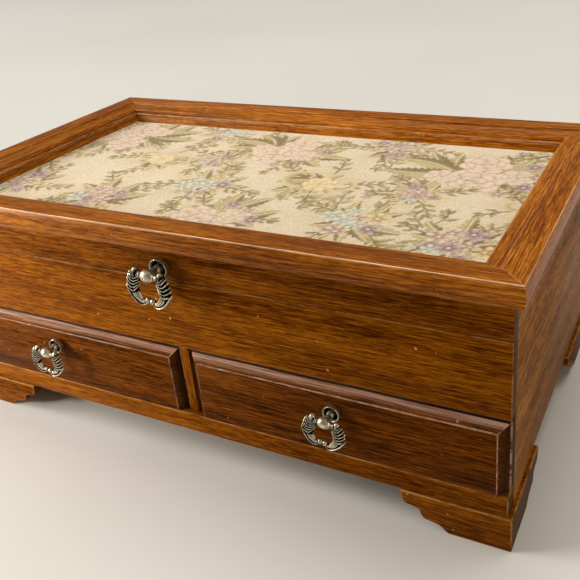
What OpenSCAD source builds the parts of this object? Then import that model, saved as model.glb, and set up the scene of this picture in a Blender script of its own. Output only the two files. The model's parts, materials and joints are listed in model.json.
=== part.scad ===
// Vanity and jewellery box with a mirror in its lid, a framed tapestry top,
// two drawers side by side, four bracket feet and three cast ring pulls.
// Millimetres, +Z up, front towards -Y.
// Origin: on the surface it stands on, at the middle of the whole box's extent.

/* [Case] */
// Width over the side panels
case_w = 320; // [260:1:420]
// Depth from the face of the front panel to the back
case_d = 170.4; // [140:0.1:240]
// Thickness of the side panels
side_t = 9; // [7:0.5:12]
// Thickness of the front panel
front_t = 7.5; // [7:0.5:12]
// Thickness of the back panel
back_t = 10; // [9:0.5:14]
// Height of the front panel above the drawers
panel_h = 36.7; // [30:0.1:60]
// Height of the rail under the drawers
rail_h = 10.5; // [9:0.1:20]
// Height of the drawer opening between rail and front panel
opening_h = 37.7; // [32:0.1:60]
// How far the rail and the drawer fronts stand out from the front panel
face_proud = 3; // [2.5:0.1:5]
// Thickness of the board between the drawers, whose edge shows as a stile
divider_t = 5; // [4:0.1:10]
// Thickness of the hardboard panels: case bottom and compartment floor
sheet_t = 4; // [3:0.1:5]
// Depth of the grooves that hold the hardboard panels
groove_d = 3; // [2:0.1:4]
// Height of the compartment floor's underside above the drawer opening
floor_lift = 1; // [0.5:0.1:3]

/* [Feet] */
// Height of the feet
foot_h = 18; // [16:0.1:30]
// Length of a foot's wing along the top
foot_len = 50.5; // [40:0.1:70]
// Length of the scalloped end of a foot's wing
scallop_len = 22.2; // [21.5:0.1:26]
// Thickness of a foot's wing
foot_t = 9; // [7:0.5:12]
// How far the feet stand out from the side panels
foot_side_out = 2; // [1:0.1:4]
// How far the feet stand out from the rail
foot_front_out = 0.8; // [0.5:0.1:3]
// How far the feet stand out from the back panel
foot_back_out = 2.8; // [1:0.1:4]
// Leg length of the three-cornered glue block inside a foot
block_leg = 20; // [12:1:26]
// Clearance between a glue block and the ground
block_clear = 3; // [1:0.5:6]

/* [Lid] */
// Height of the lid's apron
apron_h = 20.2; // [18:0.1:30]
// Height of the lid's mitred moulding
moulding_h = 10.3; // [9.5:0.1:14]
// Overhang of the moulding's top edge at each side
over_side = 5.2; // [4:0.1:9]
// Overhang of the moulding's top edge at the front
over_front = 9.6; // [5:0.1:11]
// Overhang of the moulding's top edge at the back
over_back = 9.6; // [4:0.1:11]
// Width of the moulding from its top edge to the tapestry
moulding_w = 22.5; // [22:0.1:28]
// How far the moulding's side swells beyond its top edge
moulding_swell = 1.3; // [0.5:0.1:2]
// Width of the moulding's flat top
moulding_flat = 10.8; // [8:0.1:12]
// Gap between lid and case
lid_gap = 0.5; // [0.2:0.05:1]
// Thickness of the board that carries the tapestry
lid_board_t = 3; // [2:0.1:4]
// Thickness of the tapestry
tapestry_t = 0.5; // [0.3:0.1:1]
// How far the lid opens, in degrees
lid_open = 98; // [90:1:110]

/* [Mirror] */
// Thickness of the mirror glass
mirror_t = 2; // [2:0.1:3]
// Clearance round the mirror
mirror_gap = 1; // [0.5:0.1:2]
// Height of the beads that hold the mirror
bead_h = 3.6; // [3:0.1:5]
// Width of the beads that hold the mirror
bead_w = 6; // [5:0.1:9]

/* [Hinges] */
// Length of a hinge
hinge_len = 36; // [24:1:50]
// Distance from the middle of a hinge to the end of the case
hinge_end = 60; // [40:1:90]
// Distance of the hinge axis from the back
hinge_inset = 2.5; // [2.2:0.1:3]
// Radius of the hinge knuckles
knuckle_r = 1.5; // [1.3:0.05:1.8]
// Radius of the hinge pins
hinge_pin_r = 0.7; // [0.5:0.05:0.9]
// Thickness of the hinge leaves
leaf_t = 0.9; // [0.8:0.05:1.1]
// Width of a hinge leaf in front of the hinge axis
leaf_w = 6.4; // [6:0.1:6.5]
// Distance between the two screws in a leaf
hinge_screw_spacing = 22; // [14:1:22]
// Length of the hinge screws
hinge_screw_len = 8; // [5:0.5:12]

/* [Drawers] */
// Gap round a drawer front
front_gap = 0.7; // [0.3:0.05:1]
// Clearance beside a drawer in the case
slide_gap = 0.6; // [0.4:0.05:1]
// Clearance under a drawer, and behind its front
rest_gap = 0.2; // [0.1:0.05:0.5]
// Clearance behind a drawer
back_gap = 4; // [2:0.5:20]
// Thickness of the drawer sides and back
drawer_t = 6; // [5:0.5:8]
// Height of the drawer sides
drawer_side_h = 32; // [28:0.5:34]
// Height of a drawer's bottom above the lower edge of its sides
drawer_bottom_up = 2.6; // [2:0.1:5]
// Thickness of a drawer's bottom
drawer_bottom_t = 3; // [2:0.1:4]
// Width of the moulded edge on a drawer front
edge_w = 5; // [4:0.1:7]
// Depth of the moulded edge on a drawer front
edge_d = 4.4; // [2.4:0.1:5]
// How far the moulded edge swells over a straight slope
edge_bulge = 0.6; // [0.2:0.1:1]
// How far a drawer pulls out
drawer_travel = 125; // [60:1:130]

/* [Compartment] */
// Thickness of the felt linings
lining_t = 1; // [0.5:0.1:2]
// Thickness of the partitions
partition_t = 4; // [3:0.1:6]
// Height of the partitions
partition_h = 24; // [18:0.5:26]
// Width of the place for rings
ring_place_w = 96; // [60:1:130]
// Diameter of a ring roll
roll_d = 13; // [10:0.5:16]
// Number of ring rolls
roll_count = 12; // [8:1:12]

/* [Pulls] */
// Width of the ring on a drawer pull
drawer_ring_w = 22; // [18:0.1:24]
// Width of the ring on the lid pull
lid_ring_w = 26.2; // [18:0.1:27]
// Place of the lid pull right of the middle
lid_pull_x = -3; // [-20:0.1:20]
// Height of the lid pull above the lid's lower edge
lid_pull_up = 7.5; // [6:0.1:9]
// Height of the drawer pulls above the middle of the drawer fronts
drawer_pull_up = 6; // [-2:0.1:8]
// Clockwise turn of the lid pull on its screw, in degrees
lid_pull_turn = 4.5; // [-10:0.5:10]
// Clockwise turn of the left drawer's pull on its screw, in degrees
left_pull_turn = 8; // [-10:0.5:10]
// Clockwise turn of the right drawer's pull on its screw, in degrees
right_pull_turn = 9; // [-10:0.5:10]
// Radius of the screw that holds a pull
pull_screw_r = 1.25; // [1:0.05:1.5]
// Clearance between a pin and the ring that turns on it
pin_gap = 0.05; // [0.02:0.01:0.08]

/* [Hidden] */
$fn = 48;
eps = 0.01;

// Heights
rail_z = foot_h;
rail_top = rail_z + rail_h;
panel_z = rail_top + opening_h;
case_top = panel_z + panel_h;
lid_z = case_top + lid_gap;
apron_top = lid_z + apron_h;
lid_top = apron_top + moulding_h;
bottom_z = rail_top - sheet_t;
floor_z = panel_z + floor_lift;
lining_z = floor_z + sheet_t;
partition_z = lining_z + lining_t;
tapestry_z = apron_top - tapestry_t;
lid_board_z = tapestry_z - lid_board_t;
mirror_z = lid_board_z - mirror_t;
bead_z = mirror_z - bead_h;

// Pulls: every size of a pull is given for a ring 22 wide, then scaled
pull_base_w = 22;
lid_pull_k = lid_ring_w / pull_base_w;
drawer_pull_k = drawer_ring_w / pull_base_w;
head_out = 9.5;
head_r = 2.6;
head_half = 3.5;

// The whole box reaches from the front of the furthest pull to the moulding's
// swell at the back; the middle of that is the origin.
lid_pull_reach = (head_out + head_r) * lid_pull_k;
drawer_pull_reach = face_proud + (head_out + head_r) * drawer_pull_k;
front_reach = max(lid_pull_reach, drawer_pull_reach, over_front + moulding_swell);
back_reach = max(over_back + moulding_swell, foot_back_out);
mid_y = (front_reach - back_reach) / 2;
front_y = mid_y - case_d / 2;
back_y = mid_y + case_d / 2;
face_y = front_y - face_proud;
seat_y = front_y + front_t;
half_w = case_w / 2;
in_x = half_w - side_t;
in_back = back_y - back_t;

// Lid
lid_w = case_w + 2 * over_side;
lid_front = front_y - over_front;
lid_back = back_y + over_back;
lid_d = lid_back - lid_front;
lid_mid_y = (lid_front + lid_back) / 2;

// Hinge axis, and the bevels behind it that meet when the lid is open
hinge_x = half_w - hinge_end;
axis_y = back_y - hinge_inset;
axis_z = case_top + lid_gap / 2;
stop_slack = 1;
bevel_angle = (lid_open + stop_slack) / 2;

// Drawers
drawer_in = divider_t / 2 + front_gap;
drawer_w = half_w - drawer_in;
drawer_front_z = rail_top + rest_gap;
drawer_front_h = opening_h - rest_gap - front_gap;
drawer_face_t = front_t + face_proud - rest_gap;
drawer_box_w = in_x - slide_gap - drawer_in;
drawer_box_y = seat_y - rest_gap;
drawer_box_len = in_back - back_gap - drawer_box_y;
drawer_floor_z = drawer_front_z + drawer_bottom_up;
drawer_pull_x = drawer_in + drawer_w / 2;
drawer_pull_z = drawer_front_z + drawer_front_h / 2 + drawer_pull_up;
lid_pull_z = lid_z + lid_pull_up;

// Colours
light_wood = "#a65a1c";
dark_wood = "#6b3716";
side_wood = "#7d5c34";
board = "#7a5a3a";
felt = "#6d1f28";
brass = "#9a8a63";
old_brass = "#8d8468";

// A box given by its lowest and highest corners
module block(low, high) {
    translate(low) cube(high - low);
}

// The points of one corner b, between a and c, rounded to radius r where the
// edges leave room for it
function unit(v) = v / norm(v);
function corner(a, b, c, r, n) =
    let (
        u = unit(a - b),
        v = unit(c - b),
        half = acos(u * v) / 2,
        fit_r = min(r, 0.49 * min(norm(a - b), norm(c - b)) * tan(half)),
        centre = b + unit(u + v) * fit_r / sin(half),
        start = b + u * fit_r / tan(half) - centre,
        stop = b + v * fit_r / tan(half) - centre,
        a0 = atan2(start.y, start.x),
        a1 = atan2(stop.y, stop.x),
        turn = (a1 - a0 + 900) % 360 - 180
    )
    r == 0 ? [b] : [for (i = [0 : n]) centre + fit_r * [cos(a0 + turn * i / n), sin(a0 + turn * i / n)]];

// An outline whose points [x, y, r] are rounded to their radius r
function rounded(pts, n = 5) = [
    for (i = [0 : len(pts) - 1])
        let (
            p = pts[(i + len(pts) - 1) % len(pts)],
            q = pts[i],
            s = pts[(i + 1) % len(pts)]
        )
        each corner([p.x, p.y], [q.x, q.y], [s.x, s.y], q.z, n)
];

// An outline in Y and Z, run along X and centred on it
module along_x(length) {
    rotate([90, 0, 90]) linear_extrude(length, center = true) children();
}

// Case

// The wedge behind the hinge axis, taken off so that the lid can open:
// side = -1 above the case's bevel, side = 1 below the lid's
module stop_bevel(side) {
    deep = hinge_inset + back_t;
    drop = deep * tan(bevel_angle);
    translate([0, axis_y, axis_z])
        along_x(case_w + 2)
            polygon([[0, 0], [deep, side * drop], [deep, -side * drop], [0, -side * drop]]);
}

module side_panel() {
    color(side_wood)
        difference() {
            block([in_x, seat_y, rail_z], [half_w, back_y, case_top]);
            block([in_x - 1, seat_y - 1, bottom_z], [in_x + groove_d, in_back + groove_d, rail_top]);
            block([in_x - 1, seat_y - 1, floor_z], [in_x + groove_d, in_back + groove_d, lining_z]);
            stop_bevel(-1);
        }
}

module left_side() {
    mirror([1, 0, 0]) side_panel();
}

module right_side() {
    side_panel();
}

module front_panel() {
    color(light_wood)
        difference() {
            block([-half_w, front_y, panel_z], [half_w, seat_y, case_top]);
            block([-in_x - groove_d, seat_y - groove_d, floor_z], [in_x + groove_d, seat_y + 1, lining_z]);
        }
}

module front_rail() {
    color(light_wood)
        difference() {
            block([-half_w, face_y, rail_z], [half_w, seat_y, rail_top]);
            block(
                [-in_x - groove_d, seat_y - groove_d, bottom_z],
                [in_x + groove_d, seat_y + 1, rail_top + 1]
            );
        }
}

module back_panel() {
    color(side_wood)
        difference() {
            block([-in_x, in_back, rail_z], [in_x, back_y, case_top]);
            block([-in_x - 1, in_back - 1, bottom_z], [in_x + 1, in_back + groove_d, rail_top]);
            block([-in_x - 1, in_back - 1, floor_z], [in_x + 1, in_back + groove_d, lining_z]);
            stop_bevel(-1);
            at_hinges() leaf_mortise();
        }
}

module hardboard(z) {
    color(board)
        block(
            [-in_x - groove_d, seat_y - groove_d, z],
            [in_x + groove_d, in_back + groove_d, z + sheet_t]
        );
}

module bottom_panel() {
    hardboard(bottom_z);
}

module compartment_floor() {
    hardboard(floor_z);
}

module divider() {
    color(light_wood) {
        block([-divider_t / 2, front_y, rail_top], [divider_t / 2, in_back, panel_z]);
        block([-divider_t / 2, seat_y, panel_z - eps], [divider_t / 2, in_back, floor_z]);
    }
}

module compartment_lining() {
    color(felt) block([-in_x, seat_y, lining_z], [in_x, in_back, partition_z]);
}

partition_x = -in_x + ring_place_w;
partition_y = (seat_y + in_back) / 2;

module partition_long() {
    color(light_wood)
        block(
            [partition_x, seat_y, partition_z],
            [partition_x + partition_t, in_back, partition_z + partition_h]
        );
}

module partition_cross() {
    color(light_wood)
        block(
            [partition_x + partition_t, partition_y - partition_t / 2, partition_z],
            [in_x, partition_y + partition_t / 2, partition_z + partition_h]
        );
}

// Rolls side by side on a thin bed; a roll is a little wider than its share of the
// place, so that neighbours press into each other
module ring_rolls() {
    bed_t = 3;
    end_gap = 0.5;
    low_x = -in_x + end_gap;
    length = ring_place_w - 2 * end_gap;
    low_y = seat_y + end_gap;
    depth = in_back - end_gap - low_y;
    pitch = (depth - roll_d) / (roll_count - 1);
    color(felt) {
        block(
            [low_x, low_y + roll_d / 2, partition_z],
            [low_x + length, low_y + depth - roll_d / 2, partition_z + bed_t]
        );
        for (i = [0 : roll_count - 1])
            translate([low_x, low_y + roll_d / 2 + i * pitch, partition_z + roll_d / 2])
                rotate([0, 90, 0]) cylinder(d = roll_d, h = length);
    }
}

// Feet

// The scalloped end of a wing: distance from the sole's end, height, rounding
scallops = [
    [0, 0, 0.6],
    [3.4, 3.1, 1.5],
    [5.8, 3.9, 0],
    [11.6, 4.9, 3],
    [13.4, 9.5, 1.2],
    [16, 10.4, 0],
    [20.6, 11, 3]
];

// One wing of a foot, seen from outside with the corner at x = 0: two lobes step
// down from the top end to the flat sole
wing_outline = rounded([
    [0, 0, 0],
    for (p = scallops) [foot_len - scallop_len + p.x, p.y, p.z],
    [foot_len, foot_h, 0],
    [0, foot_h, 0]
]);

module wing() {
    difference() {
        rotate([90, 0, 0]) translate([0, 0, -foot_t]) linear_extrude(foot_t) polygon(wing_outline);
        translate([0, 0, -1])
            linear_extrude(foot_h + 2)
                polygon([[-1, -1], [-1, foot_t + 2], [foot_t + 2, foot_t + 2], [0, 0], [0, -1]]);
    }
}

// A whole foot with its outer corner at the origin, running to +X and +Y
module foot() {
    color(light_wood) {
        wing();
        mirror([1, -1, 0]) wing();
        translate([foot_t, foot_t, block_clear])
            linear_extrude(foot_h - block_clear)
                polygon([[-eps, -eps], [block_leg, -eps], [-eps, block_leg]]);
    }
}

module place_foot(right, back) {
    x = half_w + foot_side_out;
    y = back == 1 ? back_y + foot_back_out : face_y - foot_front_out;
    translate([right == 1 ? x : -x, y, 0])
        mirror([right, 0, 0]) mirror([0, back, 0]) foot();
}

module foot_front_left() {
    place_foot(0, 0);
}

module foot_front_right() {
    place_foot(1, 0);
}

module foot_back_left() {
    place_foot(0, 1);
}

module foot_back_right() {
    place_foot(1, 1);
}

// Hinges: each has three knuckles, the outer two on the case leaf

knuckle_gap = 0.2;
barrel_gap = 0.3;
leaf_screw_y = -leaf_w / 2 - 0.6;
hinge_screw_r = 0.8;
hinge_head_r = 1.6;

module at_hinges() {
    for (side = [-1, 1])
        translate([side * hinge_x, axis_y, axis_z]) children();
}

module barrel(from, to, r) {
    translate([from, 0, 0]) rotate([0, 90, 0]) cylinder(r = r, h = to - from);
}

// Screw with a countersunk head, flush at z = 0 and pointing down
module countersunk(extra = 0) {
    translate([0, 0, -hinge_screw_len - extra])
        cylinder(r = hinge_screw_r + extra, h = hinge_screw_len + extra);
    translate([0, 0, -leaf_t])
        cylinder(r1 = hinge_screw_r + extra, r2 = hinge_head_r + extra, h = leaf_t);
}

module at_leaf_screws() {
    for (side = [-1, 1])
        translate([side * hinge_screw_spacing / 2, leaf_screw_y, -lid_gap / 2]) children();
}

// What the case's wood gives up to a hinge; the lid's gives up the same, turned over
module leaf_mortise() {
    half = hinge_len / 2 + knuckle_gap;
    translate([-half, -leaf_w, -lid_gap / 2 - leaf_t]) cube([2 * half, leaf_w + 1, leaf_t + 1]);
    barrel(-half, half, knuckle_r + barrel_gap);
    at_leaf_screws() countersunk(0.05);
}

module leaf(outer) {
    half = hinge_len / 2;
    third = hinge_len / 6;
    color(brass)
        difference() {
            union() {
                translate([-half, -leaf_w, -lid_gap / 2 - leaf_t]) cube([hinge_len, leaf_w, leaf_t]);
                if (outer)
                    barrel(-half, half, knuckle_r);
                else
                    barrel(-third, third, knuckle_r);
            }
            if (outer)
                barrel(-third - knuckle_gap, third + knuckle_gap, knuckle_r + barrel_gap);
            else
                for (side = [0, 1])
                    mirror([side, 0, 0]) barrel(third, half + 1, knuckle_r + barrel_gap);
            barrel(-half - 1, half + 1, hinge_pin_r + (outer ? 0 : pin_gap));
            at_leaf_screws() countersunk(0.05);
        }
}

module leaf_case(side) {
    translate([side * hinge_x, axis_y, axis_z]) leaf(true);
}

module leaf_lid(side) {
    translate([side * hinge_x, axis_y, axis_z]) mirror([0, 0, 1]) leaf(false);
}

module hinge_leaf_case_left() {
    leaf_case(-1);
}

module hinge_leaf_case_right() {
    leaf_case(1);
}

module hinge_leaf_lid_left() {
    leaf_lid(-1);
}

module hinge_leaf_lid_right() {
    leaf_lid(1);
}

module hinge_pins() {
    color(brass) at_hinges() barrel(-hinge_len / 2, hinge_len / 2, hinge_pin_r);
}

module hinge_screws_case() {
    color(brass) at_hinges() at_leaf_screws() countersunk();
}

module hinge_screws_lid() {
    color(brass) at_hinges() mirror([0, 0, 1]) at_leaf_screws() countersunk();
}

// Lid

// Section of the moulding: x runs inwards from its top edge, y down from its top.
// Outside it swells like a bullnose; inside come a cove, a quarter round, a bead
// and a slope down to the tapestry.
cove_w = 5.9;
cove_h = 2.4;
quarter_r = 2.2;
bead_step = 0.6;
bead_r = 0.8;
bead_x = moulding_flat + cove_w + quarter_r;
bead_top = cove_h + quarter_r + bead_step;
moulding_section = [
    [moulding_w, -moulding_h],
    for (a = [0 : 15 : 180])
        [-moulding_swell * sin(a), -moulding_h / 2 * (1 + cos(a))],
    [moulding_flat, 0],
    for (a = [15 : 15 : 90])
        [moulding_flat + cove_w * (1 - cos(a)), -cove_h * sin(a)],
    for (a = [15 : 15 : 90])
        [moulding_flat + cove_w + quarter_r * sin(a), -cove_h - quarter_r * (1 - cos(a))],
    [bead_x, -bead_top],
    for (a = [60 : -30 : -60])
        [bead_x + 0.4 + bead_r * cos(a), -bead_top - bead_r + bead_r * sin(a)],
    [bead_x + 0.8, -bead_top - 2 * bead_r]
];

// A length of moulding with its top edge on y = 0, mitred at both ends
module mitred_rail(length) {
    reach = 2 * moulding_swell;
    color(light_wood)
        intersection() {
            along_x(length + 2 * reach) polygon(moulding_section);
            translate([0, 0, -moulding_h - 1])
                linear_extrude(moulding_h + 2)
                    polygon([
                        [-length / 2 - reach, -reach],
                        [length / 2 + reach, -reach],
                        [length / 2 - moulding_w, moulding_w],
                        [moulding_w - length / 2, moulding_w]
                    ]);
        }
}

module lid_rail_front() {
    translate([0, lid_front, lid_top]) mitred_rail(lid_w);
}

module lid_rail_back() {
    translate([0, lid_back, lid_top]) rotate([0, 0, 180]) mitred_rail(lid_w);
}

module lid_rail_left() {
    translate([-lid_w / 2, lid_mid_y, lid_top]) rotate([0, 0, -90]) mitred_rail(lid_d);
}

module lid_rail_right() {
    translate([lid_w / 2, lid_mid_y, lid_top]) rotate([0, 0, 90]) mitred_rail(lid_d);
}

module apron_front() {
    color(light_wood)
        difference() {
            block([-half_w, front_y, lid_z], [half_w, seat_y, apron_top]);
            translate([lid_pull_x, seat_y + 1, lid_pull_z])
                rotate([90, 0, 0]) cylinder(r = pull_hole_r, h = front_t + 2);
        }
}

module apron_side() {
    color(side_wood)
        difference() {
            block([in_x, seat_y, lid_z], [half_w, back_y, apron_top]);
            stop_bevel(1);
        }
}

module apron_left() {
    mirror([1, 0, 0]) apron_side();
}

module apron_right() {
    apron_side();
}

module apron_back() {
    color(side_wood)
        difference() {
            block([-in_x, in_back, lid_z], [in_x, back_y, apron_top]);
            stop_bevel(1);
            at_hinges() mirror([0, 0, 1]) leaf_mortise();
        }
}

// A flat piece that fills the lid inside its aprons
module lid_filling(z, t, gap) {
    block([-in_x + gap, seat_y + gap, z], [in_x - gap, in_back - gap, z + t]);
}

module lid_board() {
    color(board) lid_filling(lid_board_z, lid_board_t, 0);
}

module tapestry() {
    color("#dccbab") lid_filling(tapestry_z, tapestry_t, 0);
}

module mirror_glass() {
    color("#c9d6d8") lid_filling(mirror_z, mirror_t, mirror_gap);
}

// A mitred bead along one side of the mirror, its outer face on y = 0
module mirror_bead(length) {
    mitre_gap = 0.1;
    intersection() {
        along_x(length)
            polygon(rounded([[0, 0, 0], [bead_w, 0, bead_h * 0.8], [bead_w, bead_h, 0], [0, bead_h, 0]]));
        translate([0, 0, -1])
            linear_extrude(bead_h + 2)
                polygon([
                    [-length / 2 + mitre_gap, 0],
                    [length / 2 - mitre_gap, 0],
                    [length / 2 - mitre_gap - bead_w, bead_w],
                    [bead_w + mitre_gap - length / 2, bead_w]
                ]);
    }
}

module mirror_beads() {
    in_d = in_back - seat_y;
    color(dark_wood)
        for (turn = [0, 180])
            translate([0, (seat_y + in_back) / 2, bead_z])
                rotate([0, 0, turn]) {
                    translate([0, -in_d / 2, 0]) mirror_bead(2 * in_x);
                    rotate([0, 0, 90]) translate([0, -in_x, 0]) mirror_bead(in_d);
                }
}

// Drawers, modelled on the right; the left one is its mirror image

// What a moulded edge gives up: s runs inwards from the edge, t back from the face.
// A small step down from the face, a swelling slope and a ledge.
edge_step = 0.5;
edge_ledge = 0.6;
edge_run = edge_w - edge_ledge;
edge_fall = edge_d - edge_step;
edge_slope = norm([edge_run, edge_fall]);
edge_waste = [
    [-1, -1],
    [edge_w, -1],
    for (i = [0 : 6])
        let (swell = edge_bulge * sin(30 * i) / edge_slope)
        [edge_w - edge_run * i / 6 - edge_fall * swell, edge_step + edge_fall * i / 6 - edge_run * swell],
    [-1, edge_d]
];

module edge_cutter(length) {
    rotate([90, 0, 0]) linear_extrude(length, center = true) polygon([for (p = edge_waste) [p.x, p.y]]);
}

pull_hole_r = pull_screw_r + 0.4;

module drawer_front() {
    low = [drawer_in, face_y, drawer_front_z];
    high = [half_w, face_y + drawer_face_t, drawer_front_z + drawer_front_h];
    mid = (low + high) / 2;
    color(dark_wood)
        difference() {
            block(low, high);
            translate([mid.x, face_y, high.z])
                rotate([0, 90, 90]) edge_cutter(drawer_w + 4);
            translate([low.x, face_y, mid.z])
                rotate([90, 0, 0]) mirror([0, 0, 1]) edge_cutter(drawer_front_h + 4);
            translate([high.x, face_y, mid.z])
                mirror([1, 0, 0]) rotate([90, 0, 0]) mirror([0, 0, 1]) edge_cutter(drawer_front_h + 4);
            drawer_groove();
            translate([drawer_pull_x, high.y + 1, drawer_pull_z])
                rotate([90, 0, 0]) cylinder(r = pull_hole_r, h = drawer_face_t + 2);
        }
}

drawer_groove_d = 3;
drawer_box_high = [drawer_in + drawer_box_w, drawer_box_y + drawer_box_len];

// The drawer's bottom panel, which the grooves take on all four sides
module drawer_sheet() {
    low_x = drawer_in + drawer_t - drawer_groove_d;
    high_x = drawer_box_high.x - drawer_t + drawer_groove_d;
    low_y = drawer_box_y - drawer_groove_d;
    high_y = drawer_box_high.y - drawer_t + drawer_groove_d;
    block([low_x, low_y, drawer_floor_z], [high_x, high_y, drawer_floor_z + drawer_bottom_t]);
}

module drawer_groove() {
    drawer_sheet();
}

module drawer_side(x) {
    color(board)
        difference() {
            block(
                [x, drawer_box_y, drawer_front_z],
                [x + drawer_t, drawer_box_high.y, drawer_front_z + drawer_side_h]
            );
            drawer_groove();
        }
}

module drawer_side_inner() {
    drawer_side(drawer_in);
}

module drawer_side_outer() {
    drawer_side(drawer_box_high.x - drawer_t);
}

module drawer_back() {
    color(board)
        difference() {
            block(
                [drawer_in + drawer_t, drawer_box_high.y - drawer_t, drawer_front_z],
                [drawer_box_high.x - drawer_t, drawer_box_high.y, drawer_front_z + drawer_side_h]
            );
            drawer_groove();
        }
}

module drawer_bottom() {
    color(board) drawer_sheet();
}

module drawer_lining() {
    z = drawer_floor_z + drawer_bottom_t;
    color(felt)
        block(
            [drawer_in + drawer_t, drawer_box_y, z],
            [drawer_box_high.x - drawer_t, drawer_box_high.y - drawer_t, z + lining_t]
        );
}

// Pulls, modelled with the wood's face on y = 0 and the front towards -Y

post_r = 1.8;
pin_r = 0.6;
pin_half = 5.4;
collar_r = 1.3;
collar_half = 4;
eye_r = 1.5;
eye_x = 4.2;
cup_out = 3.7;
cup_r = 4.1;

// A shape turned about the post's axis
module turned() {
    rotate([90, 0, 0]) rotate_extrude() children();
}

// The dished collar round the post, open towards the front
module rosette() {
    color(old_brass)
        turned()
            polygon([
                [post_r + 0.1, 0],
                [2.6, 0],
                [3.3, 0.7],
                [3.9, 2.1],
                [cup_r, cup_out - 0.3],
                [cup_r - 0.15, cup_out],
                [cup_r - 0.5, cup_out - 0.2],
                [3.3, 2.3],
                [2.7, 1.5],
                [post_r + 0.1, 1.2]
            ]);
}

// The post with its egg-shaped head, a collar at each end of the head and the pin
// that the ring hangs on
module post(k) {
    egg = [for (a = [0 : 10 : 180]) [head_r * sin(a), head_half * cos(a)]];
    neck_r = 1.3;
    color(old_brass)
        difference() {
            union() {
                turned()
                    polygon([
                        [0, 0],
                        [post_r, 0],
                        [post_r, 4],
                        [neck_r, 5.5],
                        [neck_r, head_out],
                        [0, head_out]
                    ]);
                translate([0, -head_out, 0]) rotate([0, 90, 0]) {
                    rotate_extrude() polygon(egg);
                    cylinder(r = 0.9, h = 2 * collar_half, center = true);
                    for (side = [0, 1])
                        mirror([0, 0, side])
                            translate([0, 0, collar_half - 0.5]) cylinder(r = collar_r, h = 0.5);
                    cylinder(r = pin_r, h = 2 * pin_half, center = true);
                }
            }
            translate([0, 1, 0]) rotate([90, 0, 0]) cylinder(r = pull_screw_r / k, h = 5.2);
        }
}

// The screw from behind the wood; depth is the wood's thickness
module pull_screw(depth, k) {
    head_t = 1.6;
    color(brass) {
        translate([0, depth, 0]) rotate([90, 0, 0]) cylinder(r = pull_screw_r, h = depth + 4 * k);
        translate([0, depth + head_t, 0]) rotate([90, 0, 0]) cylinder(r = 2.8, h = head_t);
    }
}

// Half of the ring is a feather: its quill curves from the shoulder at the pin
// down to the balls at the bottom, and its rim runs from the lowest barb's tip
// round the outside. Along both stand [x, z, half width, half depth].
quill = [
    [5.8, 0.8, 1.1, 1.4],
    [6.5, -1.4, 2, 1.3],
    [7.1, -4.2, 2.6, 1.2],
    [7.1, -7.2, 2.5, 1.2],
    [6.1, -9.8, 2.1, 1.2],
    [3.9, -11.7, 1.4, 1],
    [1.6, -11.4, 0.8, 0.8]
];
rim = [
    [10.7, -5.9, 0.25, 0.4],
    [9.9, -7.3, 0.55, 1.1],
    [8.3, -9.8, 0.6, 1.4],
    [6.1, -12, 0.6, 1.5],
    [3.6, -13.1, 0.55, 1.3],
    [1.6, -12.2, 0.4, 0.8]
];
ball_at = [1.15, -11.1];
ball_r = 1.3;
shoulder_at = [5.9, 0.3];
barb_count = 6;
barb_from = 0.4;
barb_pitch = 0.5;
barb_rise = 1.9;

// A point of the smooth curve through the points of a line
function on_line(line, t) =
    let (
        i = max(0, min(floor(t), len(line) - 2)),
        f = t - i,
        p = line[max(i - 1, 0)],
        q = line[i],
        r = line[i + 1],
        s = line[min(i + 2, len(line) - 1)]
    )
    0.5 * (2 * q + (r - p) * f + (2 * p - 5 * q + 4 * r - s) * f * f + (3 * q - p - 3 * r + s) * f * f * f);

// From 0 to 1, eased, as t goes from a to b
function ease(t, a, b) = let (f = max(0, min(1, (t - a) / (b - a)))) f * f * (3 - 2 * f);

// A closed tube along a line, with a section at each t. Its barbs are ridges: at a
// ridge the section swells, and every section there is bent into a V that points
// down the quill.
module tube(line, ts, sides, rise = 0, swell = [0, 0]) {
    last = len(ts) - 1;
    barb_to = barb_from + barb_count * barb_pitch;
    points = [
        for (t = ts)
            let (
                q = on_line(line, t),
                d = on_line(line, min(t + 0.05, len(line) - 1)) - on_line(line, max(t - 0.05, 0)),
                along = unit([d.x, d.y]),
                bend = rise * ease(t, 0, 1.2) * (1 - ease(t, barb_to - 0.4, barb_to + 1)),
                barbed = t > barb_from && t < barb_to,
                ridge = barbed ? (1 - cos(360 * (t - barb_from) / barb_pitch)) / 2 : 0
            )
            for (j = [0 : sides - 1])
                let (
                    u = cos(360 * j / sides),
                    w = q.z * u * (1 + swell.x * ridge),
                    up = bend * pow(abs(u), 1.2)
                )
                [
                    q.x - along.y * w - along.x * up,
                    q[3] * sin(360 * j / sides) * (1 + swell.y * ridge),
                    q.y + along.x * w - along.y * up
                ]
    ];
    skin = [
        for (i = [0 : last - 1])
            for (j = [0 : sides - 1])
                let (
                    k = (j + 1) % sides,
                    a = i * sides
                )
                each [[a + j, a + k, a + sides + k], [a + j, a + sides + k, a + sides + j]]
    ];
    ends = [
        [for (j = [sides - 1 : -1 : 0]) j],
        [for (j = [0 : sides - 1]) last * sides + j]
    ];
    polyhedron(points, concat(skin, ends), convexity = 4);
}

module feather() {
    barb_to = barb_from + barb_count * barb_pitch;
    tube(
        quill,
        [
            0,
            for (i = [0 : 4 * barb_count]) barb_from + barb_pitch * i / 4,
            for (i = [1 : 10]) barb_to + (len(quill) - 1 - barb_to) * i / 10
        ],
        14, barb_rise, [0.32, 0.3]
    );
    tube(rim, [for (i = [0 : 12]) (len(rim) - 1) * i / 12], 8);
}

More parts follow.
